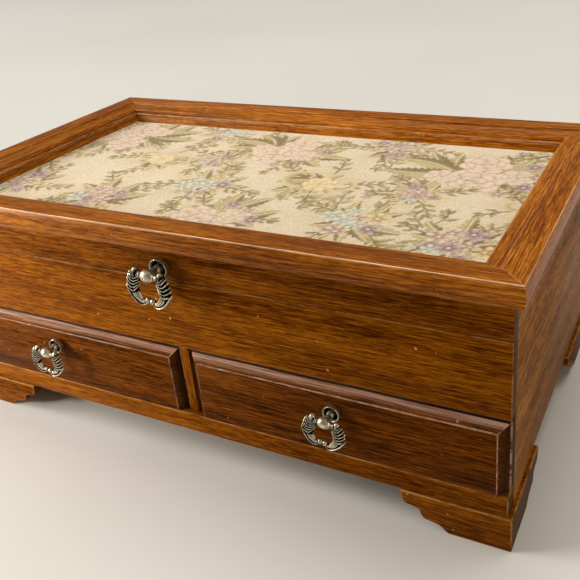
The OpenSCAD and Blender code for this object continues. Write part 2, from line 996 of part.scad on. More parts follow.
module shoulder() {
    lobe = [for (a = [0 : 15 : 180]) [1.7 * sin(a), 2.3 * cos(a)]];
    translate([shoulder_at.x, 0, shoulder_at.y]) rotate_extrude() polygon(lobe);
    translate([eye_x, 0, 0]) rotate([0, 90, 0]) cylinder(r = eye_r, h = shoulder_at.x - eye_x);
}

// Both balls, turned in one piece about the line through them
module balls() {
    waist = acos(ball_at.x / ball_r);
    half = [
        for (i = [0 : 6])
            let (a = i * (180 - waist) / 6)
            [ball_r * sin(a), ball_at.x + ball_r * cos(a)]
    ];
    translate([0, 0, ball_at.y])
        rotate([0, 90, 0])
            rotate_extrude()
                polygon(concat(half, [for (i = [5 : -1 : 0]) [half[i].x, -half[i].y]]));
}

module ring() {
    bore_half = pin_half + 0.2;
    color(old_brass)
        translate([0, -head_out, 0])
            difference() {
                union() {
                    balls();
                    for (side = [0, 1])
                        mirror([side, 0, 0]) {
                            feather();
                            shoulder();
                        }
                }
                rotate([0, 90, 0]) cylinder(r = head_r + 0.4, h = 2 * eye_x, center = true);
                rotate([0, 90, 0]) cylinder(r = pin_r + pin_gap, h = 2 * bore_half, center = true);
            }
}

// The right drawer's wood is mirrored to the left, its pull is not
module at_lid_pull() {
    translate([lid_pull_x, front_y, lid_pull_z]) rotate([0, lid_pull_turn, 0]) children();
}

module at_left_pull() {
    translate([-drawer_pull_x, face_y, drawer_pull_z]) rotate([0, left_pull_turn, 0]) children();
}

module at_right_pull() {
    translate([drawer_pull_x, face_y, drawer_pull_z]) rotate([0, right_pull_turn, 0]) children();
}

// The left drawer is the right one's mirror image
module other_side() {
    mirror([1, 0, 0]) children();
}

left_side();
right_side();
front_panel();
front_rail();
back_panel();
divider();
bottom_panel();
compartment_floor();
compartment_lining();
partition_long();
partition_cross();
ring_rolls();
foot_front_left();
foot_front_right();
foot_back_left();
foot_back_right();
hinge_leaf_case_left();
hinge_leaf_case_right();
hinge_pins();
hinge_screws_case();
lid_rail_front();
lid_rail_back();
lid_rail_left();
lid_rail_right();
apron_front();
apron_back();
apron_left();
apron_right();
lid_board();
tapestry();
mirror_glass();  // mirror
mirror_beads();
hinge_leaf_lid_left();
hinge_leaf_lid_right();
hinge_screws_lid();
at_lid_pull() scale(lid_pull_k) rosette();  // lid_pull_rosette
at_lid_pull() scale(lid_pull_k) post(lid_pull_k);  // lid_pull_post
at_lid_pull() pull_screw(front_t, lid_pull_k);  // lid_pull_screw
at_lid_pull() scale(lid_pull_k) ring();  // lid_pull_ring
other_side() drawer_front();  // drawer_left_front
other_side() drawer_side_outer();  // drawer_left_side_outer
other_side() drawer_side_inner();  // drawer_left_side_inner
other_side() drawer_back();  // drawer_left_back
other_side() drawer_bottom();  // drawer_left_bottom
other_side() drawer_lining();  // drawer_left_lining
at_left_pull() scale(drawer_pull_k) rosette();  // drawer_left_rosette
at_left_pull() scale(drawer_pull_k) post(drawer_pull_k);  // drawer_left_post
at_left_pull() pull_screw(drawer_face_t, drawer_pull_k);  // drawer_left_screw
at_left_pull() scale(drawer_pull_k) ring();  // drawer_left_ring
drawer_front();  // drawer_right_front
drawer_side_outer();  // drawer_right_side_outer
drawer_side_inner();  // drawer_right_side_inner
drawer_back();  // drawer_right_back
drawer_bottom();  // drawer_right_bottom
drawer_lining();  // drawer_right_lining
at_right_pull() scale(drawer_pull_k) rosette();  // drawer_right_rosette
at_right_pull() scale(drawer_pull_k) post(drawer_pull_k);  // drawer_right_post
at_right_pull() pull_screw(drawer_face_t, drawer_pull_k);  // drawer_right_screw
at_right_pull() scale(drawer_pull_k) ring();  // drawer_right_ring
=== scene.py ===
import json
import math
import random
import bpy
import bmesh
import numpy as np
from mathutils import Matrix, Vector


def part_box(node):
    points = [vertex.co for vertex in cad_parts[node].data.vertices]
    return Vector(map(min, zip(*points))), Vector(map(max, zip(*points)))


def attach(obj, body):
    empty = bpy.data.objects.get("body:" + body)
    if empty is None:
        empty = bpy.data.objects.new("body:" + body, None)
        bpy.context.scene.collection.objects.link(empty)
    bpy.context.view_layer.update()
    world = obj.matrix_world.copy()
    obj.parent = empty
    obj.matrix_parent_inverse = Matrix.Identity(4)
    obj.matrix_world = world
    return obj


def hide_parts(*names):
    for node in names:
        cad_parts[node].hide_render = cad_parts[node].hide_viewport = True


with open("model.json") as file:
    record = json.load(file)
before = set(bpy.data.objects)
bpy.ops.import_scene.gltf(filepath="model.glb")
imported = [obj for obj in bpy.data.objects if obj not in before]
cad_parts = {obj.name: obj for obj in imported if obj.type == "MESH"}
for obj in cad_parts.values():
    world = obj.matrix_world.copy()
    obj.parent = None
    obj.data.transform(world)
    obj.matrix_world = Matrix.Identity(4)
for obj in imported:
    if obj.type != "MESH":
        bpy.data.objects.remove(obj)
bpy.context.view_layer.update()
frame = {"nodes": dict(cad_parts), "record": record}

# Vanity box with a mirror in its lid, a tapestry top, two drawers and ring pulls.
# Everything is in metres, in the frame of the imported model.

mm = 0.001


def tone(hexText):
    # from a colour as it looks on the screen to its linear value
    channels = [int(hexText[i:i + 2], 16) / 255 for i in (1, 3, 5)]
    return [c / 12.92 if c <= 0.04045 else ((c + 0.055) / 1.055) ** 2.4 for c in channels] + [1.0]


def newMaterial(name):
    material = bpy.data.materials.new(name)
    material.use_nodes = True
    tree = material.node_tree
    return material, tree, tree.nodes["Principled BSDF"]


def add(tree, kind, inputs=None, **settings):
    made = tree.nodes.new(kind)
    for key, value in settings.items():
        setattr(made, key, value)
    for key, value in (inputs or {}).items():
        if isinstance(value, bpy.types.NodeSocket):
            tree.links.new(value, made.inputs[key])
        else:
            made.inputs[key].default_value = value
    return made


def ramp(tree, source, stops):
    made = add(tree, "ShaderNodeValToRGB", {0: source})
    elements = made.color_ramp.elements
    while len(elements) < len(stops):
        elements.new(0.5)
    for element, (place, colour) in zip(elements, stops):
        element.position = place
        element.color = tone(colour) if isinstance(colour, str) else (colour, colour, colour, 1)
    return made.outputs["Color"]


def mix(tree, factor, a, b, blend="MIX"):
    made = tree.nodes.new("ShaderNodeMix")
    made.data_type = "RGBA"
    made.blend_type = blend
    for index, value in ((0, factor), (6, a), (7, b)):
        if isinstance(value, bpy.types.NodeSocket):
            tree.links.new(value, made.inputs[index])
        else:
            made.inputs[index].default_value = tone(value) if isinstance(value, str) else value
    return made.outputs[2]


def maths(tree, operation, a, b=0.5, clamp=False):
    made = add(tree, "ShaderNodeMath", {0: a, 1: b}, operation=operation, use_clamp=clamp)
    return made.outputs[0]


def stretched(tree, place, scale):
    return add(tree, "ShaderNodeMapping", {"Vector": place, "Scale": scale}).outputs[0]


def noise(tree, place, scale=1.0, detail=4.0, rough=0.5, distortion=0.0):
    values = {"Vector": place, "Scale": scale, "Detail": detail, "Roughness": rough,
              "Distortion": distortion}
    return add(tree, "ShaderNodeTexNoise", values).outputs["Fac"]


def painted(tree, attribute, output="Fac"):
    return add(tree, "ShaderNodeAttribute", attribute_name=attribute).outputs[output]


def objectPlace(tree):
    return add(tree, "ShaderNodeTexCoord").outputs["Object"]


def weighted(tree, layers):
    # the sum of (layer, weight) pairs
    total = maths(tree, "MULTIPLY", *layers[0])
    for layer, weight in layers[1:]:
        total = maths(tree, "ADD", total, maths(tree, "MULTIPLY", layer, weight))
    return total


def setRoughness(tree, shader, source, low, high, smooth, coarse):
    made = add(tree, "ShaderNodeMapRange", {0: source, 1: low, 2: high, 3: smooth, 4: coarse})
    tree.links.new(made.outputs[0], shader.inputs["Roughness"])


def setBump(tree, shader, height, strength, distance):
    made = add(tree, "ShaderNodeBump", {"Strength": strength, "Distance": distance, "Height": height})
    tree.links.new(made.outputs[0], shader.inputs["Normal"])


grainTurn = {"X": (0, 0, 0), "Y": (0, 0, -math.pi / 2), "Z": (0, math.pi / 2, 0)}
grainLook = {
    # how much each layer of the grain tells, and where the five tones of a wood lie on their sum
    "figure": 0.13, "bands": 0.04, "streaks": 0.37, "fibres": 0.46,
    "steps": (0.37, 0.45, 0.505, 0.56, 0.66),
    # the near-black colour on this line is the painted shadow line along the tops of the drawer fronts
    "endStain": 0.85, "dirt": "#120602", "tint": (1.0, 0.55, 0.18, 1), "relief": 0.00012,
}

# each wood's worn colour shows rubbed wood and is also the colour of the painted highlight on rounded outer
# edges
frontWood = {
    "tones": ["#2d1102", "#5c2b04", "#794205", "#91520b", "#b47418"], "end": "#3f270c",
    "worn": "#e0aa6c", "nicks": 0.7, "pore": 0.6, "rough": 0.42, "shine": 0.03, "coat": 0.0, "figure": 1.0,
}
drawerWood = {
    "tones": ["#220c02", "#411f02", "#5f3005", "#773f0a", "#8f5615"], "end": "#211204",
    "worn": "#c09a86", "nicks": 0.5, "pore": 0.55, "rough": 0.42, "shine": 0.04, "coat": 0.0, "figure": 1.3,
}
sideWood = {
    "tones": ["#321a07", "#5c350f", "#825220", "#a16a2d", "#c28c43"], "end": "#523a16",
    "worn": "#c49a5c", "nicks": 0.4, "pore": 0.65, "rough": 0.5, "shine": 0.07, "coat": 0.0, "figure": 1.1,
}
lidWood = {
    "tones": ["#431d03", "#713a08", "#92500f", "#ab6518", "#cb8833"], "end": "#5a3410",
    "worn": "#f4d0a6", "nicks": 0.8, "pore": 0.5, "rough": 0.36, "shine": 0.14, "coat": 0.04, "figure": 0.9,
}
insideWood = {
    "tones": ["#5f4020", "#83602f", "#9d7540", "#b08750", "#c69d67"], "end": "#6d4c26",
    "worn": "#d3b083", "nicks": 0.0, "pore": 0.4, "rough": 0.62, "shine": 0.2, "coat": 0.0, "figure": 1.0,
}


def woodMaterial(name, look, along, offset):
    # along is the grain's direction; every board has an offset of its own, so that no two look alike
    material, tree, shader = newMaterial(name)
    cut = (offset, 0.37 * offset, 0.61 * offset)
    place = add(tree, "ShaderNodeMapping",
                {"Vector": objectPlace(tree), "Rotation": grainTurn[along], "Location": cut}).outputs[0]
    k = look["figure"]
    # broad figure, growth bands, streaks, fibres and pores, all drawn out along the grain
    figure = noise(tree, stretched(tree, place, (7 * k, 34 * k, 34 * k)), detail=2, distortion=0.4)
    bands = add(tree, "ShaderNodeTexWave",
                {"Vector": stretched(tree, place, (2.2 * k, 30 * k, 30 * k)), "Scale": 1.0,
                 "Distortion": 6.0, "Detail": 3.0, "Detail Scale": 0.8, "Detail Roughness": 0.6},
                wave_type="BANDS", bands_direction="DIAGONAL").outputs["Fac"]
    streaks = noise(tree, stretched(tree, place, (30, 1000, 1000)), detail=4, rough=0.65, distortion=0.25)
    fibres = noise(tree, stretched(tree, place, (120, 2200, 2200)), detail=3, rough=0.65)
    pores = noise(tree, stretched(tree, place, (190, 2600, 2600)), detail=2)
    value = weighted(tree, [(figure, grainLook["figure"]), (bands, grainLook["bands"]),
                            (streaks, grainLook["streaks"]), (fibres, grainLook["fibres"])])
    colour = ramp(tree, value, list(zip(grainLook["steps"], look["tones"])))
    poreMask = maths(tree, "MULTIPLY", ramp(tree, pores, [(0.33, 1.0), (0.45, 0.0)]), look["pore"])
    colour = mix(tree, poreMask, colour, look["tones"][0])
    # the ends take the stain darker
    ends = maths(tree, "MULTIPLY", painted(tree, "endGrain"), grainLook["endStain"])
    colour = mix(tree, ends, colour, look["end"])
    # arrises are rubbed in patches and nicks lie anywhere, both showing paler wood; rounded outer edges get
    # a painted highlight all along, in the same pale colour
    patches = noise(tree, stretched(tree, place, (55, 170, 170)), 1, 6, 0.8)
    patches = ramp(tree, patches, [(0.4, 0.05), (0.56, 1.0)])
    wearAndHighlight = maths(tree, "MULTIPLY", painted(tree, "worn"), patches, True)
    streaked = ramp(tree, streaks, [(0.4, 0.3), (0.6, 1.0)])
    # painted highlight: rounded outer edges paled along the streaks, more where they face upwards
    wearAndHighlight = maths(tree, "MAXIMUM", wearAndHighlight, maths(tree, "MULTIPLY", painted(tree, "rounded"), streaked))
    nicks = ramp(tree, noise(tree, place, 300, 1), [(0.79, 0.0), (0.81, 1.0)])
    wearAndHighlight = maths(tree, "MAXIMUM", wearAndHighlight, maths(tree, "MULTIPLY", nicks, look["nicks"]))
    colour = mix(tree, wearAndHighlight, colour, look["worn"])
    # painted shadow: a near-black line along the top of each drawer front, standing in for the shade in the
    # gap above it
    colour = mix(tree, painted(tree, "gapShadow"), colour, grainLook["dirt"])
    tree.links.new(colour, shader.inputs["Base Color"])
    setRoughness(tree, shader, streaks, 0.3, 0.7, look["rough"] - 0.06, look["rough"] + 0.1)
    relief = maths(tree, "SUBTRACT", maths(tree, "MULTIPLY", streaks, 0.5), poreMask)
    setBump(tree, shader, relief, 0.35, grainLook["relief"])
    shader.inputs["Specular IOR Level"].default_value = look["shine"]
    shader.inputs["Specular Tint"].default_value = grainLook["tint"]
    shader.inputs["Coat Weight"].default_value = look["coat"]
    shader.inputs["Coat Roughness"].default_value = 0.25
    return material


pewterLook = {"high": "#e6ddc6", "low": "#938a74", "recess": "#050403", "rough": 0.36}
brassLook = {"high": "#d2b06a", "low": "#8f7034", "recess": "#2b1f0e", "rough": 0.34}


def castMaterial(name, look):
    # bright where hands rub it, black in the hollows; "hollow" is painted on each casting
    material, tree, shader = newMaterial(name)
    place = objectPlace(tree)
    cloud = noise(tree, place, 700, 5, 0.6)
    metal = mix(tree, ramp(tree, cloud, [(0.35, 0.0), (0.65, 1.0)]), look["low"], look["high"])
    blotches = maths(tree, "MULTIPLY", maths(tree, "SUBTRACT", cloud, 0.5), 0.35)
    uneven = maths(tree, "ADD", painted(tree, "hollow"), blotches)
    mask = ramp(tree, uneven, [(0.3, 0.0), (0.62, 1.0)])
    tree.links.new(mix(tree, mask, metal, look["recess"]), shader.inputs["Base Color"])
    setRoughness(tree, shader, uneven, 0.2, 0.8, look["rough"] - 0.06, 0.75)
    tree.links.new(maths(tree, "ADD", 0.85, maths(tree, "MULTIPLY", mask, 0.14)), shader.inputs["Metallic"])
    setBump(tree, shader, noise(tree, place, 1800, 3), 0.2, 0.00005)
    return material


def feltMaterial(name, dark, light):
    # a short pile, brushed lighter and darker in broad strokes
    material, tree, shader = newMaterial(name)
    place = objectPlace(tree)
    pile = noise(tree, place, 900, 4, 0.7)
    brushed = noise(tree, place, 22, 3, 0.6, 1.0)
    shade = weighted(tree, [(pile, 0.6), (brushed, 0.4)])
    tree.links.new(ramp(tree, shade, [(0.3, dark), (0.7, light)]), shader.inputs["Base Color"])
    setBump(tree, shader, pile, 0.6, 0.0003)
    shader.inputs["Roughness"].default_value = 0.95
    shader.inputs["Sheen Weight"].default_value = 0.5
    shader.inputs["Sheen Roughness"].default_value = 0.4
    return material


def mirrorMaterial():
    material, tree, shader = newMaterial("silveredGlass")
    haze = noise(tree, objectPlace(tree), 14, 5, 0.6, 0.5)
    tree.links.new(ramp(tree, haze, [(0.3, "#dfe5e4"), (0.7, "#eef2f1")]), shader.inputs["Base Color"])
    setRoughness(tree, shader, haze, 0.35, 0.75, 0.008, 0.02)
    shader.inputs["Metallic"].default_value = 1.0
    return material


def within(value):
    # kept between nought and one
    return min(1, max(0, value))


def finishPiece(name, shape, body, material, nodes, smoothAngle=32):
    # the bmesh becomes a piece that rides on a body and stands for its CAD nodes
    mesh = bpy.data.meshes.new(name)
    shape.to_mesh(mesh)
    shape.free()
    piece = bpy.data.objects.new(name, mesh)
    bpy.context.scene.collection.objects.link(piece)
    mesh.materials.append(material)
    mesh.polygons.foreach_set("use_smooth", [True] * len(mesh.polygons))
    mesh.set_sharp_from_angle(angle=math.radians(smoothAngle))
    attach(piece, body)
    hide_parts(*nodes)
    return piece


weldGap = 2e-6


def weldedCopy(node):
    shape = bmesh.new()
    shape.from_mesh(frame["nodes"][node].data)
    bmesh.ops.remove_doubles(shape, verts=shape.verts, dist=weldGap)
    return shape


edgeLook = {
    # angles in degrees: faces flatter than "flat" are joined, and edges sharper than "sharper" are eased
    "flat": 0.6, "sharper": 28, "segments": 2,
    # as a normal's z: the slopes that count as a rounded edge, where its painted highlight starts, and over
    # how much
    "slopes": (0.3, 0.97), "rises": 0.42, "over": 0.35,
    # the line at the top of an edge is a painted shadow
    "dirt": 0.9,    # how black the line at the top of an edge is
}


def easedBoard(name, node, body, material, slot, ease, worn, along="", highlightStrength=0.0, dirt=0.0):
    # a board with its arrises eased and marked as rubbed, its rounded outer edges marked for a painted
    # highlight and its ends as end grain; the last argument is the depth below the top in which an outer
    # face is painted black as shadow
    shape = weldedCopy(node)
    bmesh.ops.dissolve_limit(shape, angle_limit=math.radians(edgeLook["flat"]),
                             verts=shape.verts, edges=shape.edges)
    mark = shape.faces.layers.int.new("eased")
    arrises = [e for e in shape.edges
               if len(e.link_faces) == 2 and e.calc_face_angle(0) > math.radians(edgeLook["sharper"])]
    made = bmesh.ops.bevel(shape, geom=arrises, offset=ease * mm, offset_type="OFFSET", affect="EDGES",
                           segments=edgeLook["segments"], profile=0.5, material=-1, clamp_overlap=True)
    for face in made["faces"]:
        face[mark] = 1
    flags = [face[mark] for face in shape.faces]
    shape.faces.layers.int.remove(mark)
    piece = finishPiece(name, shape, body, material, [node])
    count = len(piece.data.loops)
    marks = {key: np.zeros(count, np.float32) for key in ("worn", "endGrain", "rounded", "gapShadow")}
    top = max(v.co.z for v in piece.data.vertices)
    steep, gentle = edgeLook["slopes"]
    for polygon, flag in zip(piece.data.polygons, flags):
        corners = slice(polygon.loop_start, polygon.loop_start + polygon.loop_total)
        marks["worn"][corners] = worn * flag
        facing = polygon.normal.x * polygon.center.x + polygon.normal.y * polygon.center.y
        # painted highlight: the part of a rounded outer edge that faces more upwards is paled more, as if
        # catching light from above
        if highlightStrength and facing > 0 and steep < polygon.normal.z < gentle:
            highlightShare = within((polygon.normal.z - edgeLook["rises"]) / edgeLook["over"])
            marks["rounded"][corners] = highlightStrength * highlightShare
        # painted shadow: outer faces within the given depth of the top are painted black
        if facing > 0 and polygon.center.z > top - dirt:
            marks["gapShadow"][corners] = edgeLook["dirt"]
        if along:
            marks["endGrain"][corners] = within(abs(polygon.normal["XYZ".find(along)]) * 2 - 0.5)
    for attribute, values in marks.items():
        piece.data.attributes.new(attribute, "FLOAT", "CORNER").data.foreach_set("value", values)


boards = {
    # node: (finish, grain, slot, eased mm, how rubbed)
    "left_side": (sideWood, "Y", "case_wood", 0.5, 0.5),
    "right_side": (sideWood, "Y", "case_wood", 0.5, 0.5),
    "front_panel": (frontWood, "X", "frame_wood", 0.4, 0.35),
    "front_rail": (frontWood, "X", "frame_wood", 0.5, 0.35),
    "back_panel": (sideWood, "X", "case_wood", 0.5, 0.4),
    "divider": (frontWood, "Z", "frame_wood", 0.2, 0.2),
    "bottom_panel": (insideWood, "X", "inner_board", 0.2, 0.0),
    "compartment_floor": (insideWood, "X", "inner_board", 0.2, 0.0),
    "partition_long": (frontWood, "Y", "frame_wood", 0.6, 0.4),
    "partition_cross": (frontWood, "X", "frame_wood", 0.6, 0.4),
    "foot_front_left": (frontWood, "X", "frame_wood", 0.6, 0.4),
    "foot_front_right": (frontWood, "X", "frame_wood", 0.6, 0.4),
    "foot_back_left": (frontWood, "X", "frame_wood", 0.6, 0.4),
    "foot_back_right": (frontWood, "X", "frame_wood", 0.6, 0.4),
    "lid_rail_front": (lidWood, "X", "frame_wood", 0.5, 1.0),
    "lid_rail_back": (lidWood, "X", "frame_wood", 0.5, 0.7),
    "lid_rail_left": (lidWood, "Y", "frame_wood", 0.5, 0.8),
    "lid_rail_right": (lidWood, "Y", "frame_wood", 0.5, 1.0),
    "apron_front": (frontWood, "X", "frame_wood", 0.4, 0.3),
    "apron_back": (sideWood, "X", "case_wood", 0.4, 0.3),
    "apron_left": (sideWood, "Y", "case_wood", 0.4, 0.3),
    "apron_right": (sideWood, "Y", "case_wood", 0.4, 0.3),
    "lid_board": (insideWood, "X", "inner_board", 0.2, 0.0),
    "mirror_beads": (drawerWood, "X", "drawer_wood", 0.4, 0.3),
}
for side in ("left", "right"):
    boards["drawer_%s_front" % side] = (drawerWood, "X", "drawer_wood", 0.25, 1.0)
    for part, grain in (("side_outer", "Y"), ("side_inner", "Y"), ("back", "X"), ("bottom", "X")):
        boards["drawer_%s_%s" % (side, part)] = (insideWood, grain, "inner_board", 0.5, 0.1)

highlightsAndShadowLines = {
    # node: (how strong the painted highlight on the rounded outer edge is, depth of the painted shadow line
    # at its top in metres)
    "drawer_left_front": (0.75, 1.1 * mm), "drawer_right_front": (0.75, 1.1 * mm),
    "lid_rail_front": (0.85, 0), "lid_rail_right": (0.45, 0),
    "lid_rail_left": (0.3, 0), "lid_rail_back": (0.3, 0),
}

bodyOf = {node: body for body, nodes in frame["record"]["behaviour"]["bodies"].items() for node in nodes}


def wordsJoined(node):
    first, *rest = node.split("_")
    return first + "".join(word.capitalize() for word in rest)


boardShift = 0.173      # how far apart in the grain's pattern two boards are cut
for index, (node, (look, grain, slot, ease, worn)) in enumerate(boards.items()):
    finish = woodMaterial(wordsJoined(node) + "Wood", look, grain, boardShift * (index + 1))
    easedBoard(wordsJoined(node) + "Board", node, bodyOf[node], finish, slot, ease, worn, grain,
               *highlightsAndShadowLines.get(node, (0, 0)))
print("boards made:", len(boards))


castLook = {
    # voxels in metres, rounds of smoothing, and further rounds that find the hollows
    "voxel": 0.00016, "fineVoxel": 0.9 * 0.00016, "rounds": 2, "reach": 16,
    # how black an even surface is, and the depth in voxels that turns it from bright to black
    "blackness": 0.93, "depth": 0.2,
    # a rosette is black inside this share of its radius
    "dish": 0.78, "dishEdge": 0.08,
    # a ring is blacker past these shares of its half width and its height, where its feathers are
    "feather": 0.3, "featherEdge": 0.06, "plain": 0.36, "plainEdge": 0.05,
    "plainBlackness": 0.8, "featherBlackness": 0.75,
}


def smoothen(shape, rounds):
    for _ in range(rounds):
        bmesh.ops.smooth_vert(shape, verts=shape.verts, factor=0.5,
                              use_axis_x=True, use_axis_y=True, use_axis_z=True)


def casting(name, node, body, voxel, rounds, form="post"):
    # remeshed so that every inside corner gets the soft fillet of a casting
    mesh = bpy.data.meshes.new("roughCasting")
    weld = weldedCopy(node)
    weld.to_mesh(mesh)
    weld.free()
    rough = bpy.data.objects.new("roughCasting", mesh)
    bpy.context.scene.collection.objects.link(rough)
    remesh = rough.modifiers.new("remesh", "REMESH")
    remesh.mode = "VOXEL"
    remesh.voxel_size = voxel
    shaped = bpy.data.meshes.new_from_object(rough.evaluated_get(bpy.context.evaluated_depsgraph_get()))
    bpy.data.objects.remove(rough)
    bpy.data.meshes.remove(mesh)
    shape = bmesh.new()
    shape.from_mesh(shaped)
    bpy.data.meshes.remove(shaped)
    smoothen(shape, rounds)
    # a hollow is where further smoothing would push the skin out
    kept = [v.co.copy() for v in shape.verts]
    shape.normal_update()
    normals = [v.normal.copy() for v in shape.verts]
    smoothen(shape, castLook["reach"])
    depth = np.array([(v.co - c).dot(n) for v, c, n in zip(shape.verts, kept, normals)])
    for v, c in zip(shape.verts, kept):
        v.co = c
    low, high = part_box(node)
    middle, outer = (low + high) / 2, (high.x - low.x) / 2
    blackness = castLook["blackness"]
    if form == "ring":
        aside = np.array([abs(c.x - middle.x) / outer for c in kept])
        rise = np.array([(c.z - low.z) / (high.z - low.z) for c in kept])
        feathered = np.clip((aside - castLook["feather"]) / castLook["featherEdge"], 0, 1)
        feathered = castLook["featherBlackness"] * feathered
        feathered = feathered * np.clip((rise - castLook["plain"]) / castLook["plainEdge"], 0, 1)
        blackness = castLook["plainBlackness"] + feathered
    shade = np.clip(blackness + depth / (castLook["depth"] * voxel), 0, 1)
    if form == "rosette":
        out = np.array([math.hypot(c.x - middle.x, c.z - middle.z) / outer for c in kept])
        inside = np.clip((castLook["dish"] - out) / castLook["dishEdge"], 0, 1)
        rim = np.clip((out - castLook["dish"]) / castLook["dishEdge"], 0, 1)
        shade = np.maximum(shade * (1 - rim), inside)
    piece = finishPiece(name, shape, body, pewterMetal, [node], smoothAngle=60)
    hollow = piece.data.attributes.new("hollow", "FLOAT", "POINT")
    hollow.data.foreach_set("value", shade.astype(np.float32))


pewterMetal = castMaterial("antiquedPewter", pewterLook)
brassMetal = castMaterial("plainBrass", brassLook)
pulls = {
    "lid": ("lid", "lid_ring", "lid_pull_"),
    "left": ("drawer_left", "drawer_left_pull_ring", "drawer_left_"),
    "right": ("drawer_right", "drawer_right_pull_ring", "drawer_right_"),
}
for key, (body, ringBody, start) in pulls.items():
    casting(key + "PullRing", start + "ring", ringBody, castLook["voxel"], castLook["rounds"], "ring")
    casting(key + "PullPost", start + "post", body, castLook["voxel"], 1)
    casting(key + "PullRosette", start + "rosette", body, castLook["fineVoxel"], 1, "rosette")
print("castings made")

for node in ("hinge_leaf_case_left", "hinge_leaf_case_right", "hinge_leaf_lid_left", "hinge_leaf_lid_right",
             "hinge_pins", "hinge_screws_case", "hinge_screws_lid",
             "lid_pull_screw", "drawer_left_screw", "drawer_right_screw"):
    easedBoard(wordsJoined(node), node, bodyOf[node], brassMetal, "hinge_brass", ease=0.12, worn=0.0)
print("hinges and screws made")


def flatCloth(name, node, below, cell, body, material):
    # a grid the size of the node's box, below its top; returns the piece and its flat size
    low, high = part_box(node)
    width, depth = high[0] - low[0], high[1] - low[1]
    middle = ((low[0] + high[0]) / 2, (low[1] + high[1]) / 2, high.z - below)
    shape = bmesh.new()
    bmesh.ops.create_grid(shape, x_segments=round(width / cell), y_segments=round(depth / cell), size=0.5)
    bmesh.ops.transform(shape, verts=shape.verts,
                        matrix=Matrix.Translation(middle) @ Matrix.Diagonal((width, depth, 1, 1)))
    return finishPiece(name, shape, body, material, [node], smoothAngle=60), (width, depth)


tapestryLook = {
    "cell": 0.7 * mm, "seed": 23,
    "ground": "#ddcbad", "haze": "#cfba94",
    "leaf": "#b5a26e", "leafPale": "#d0be8c", "leafDark": "#7c683a", "rib": "#e6d5a8",
    "rose": "#caac94", "rosePale": "#e3ccb2", "roseDark": "#8d6c5c",
    "violet": "#ac8c88", "violetPale": "#ccb4a6", "violetDark": "#76595a",
    "blue": "#c4c4b0", "bluePale": "#dbd8c4", "blueDark": "#979782",
    "gold": "#cfb47c", "goldPale": "#e6d29e", "goldDark": "#967746",
    "scroll": "#c4ae7c", "scrollPale": "#dfcc9c", "scrollDark": "#8a7644",
    "stem": "#68532f", "sprigs": 64, "sprigGap": 16, "twill": 2.8,
}


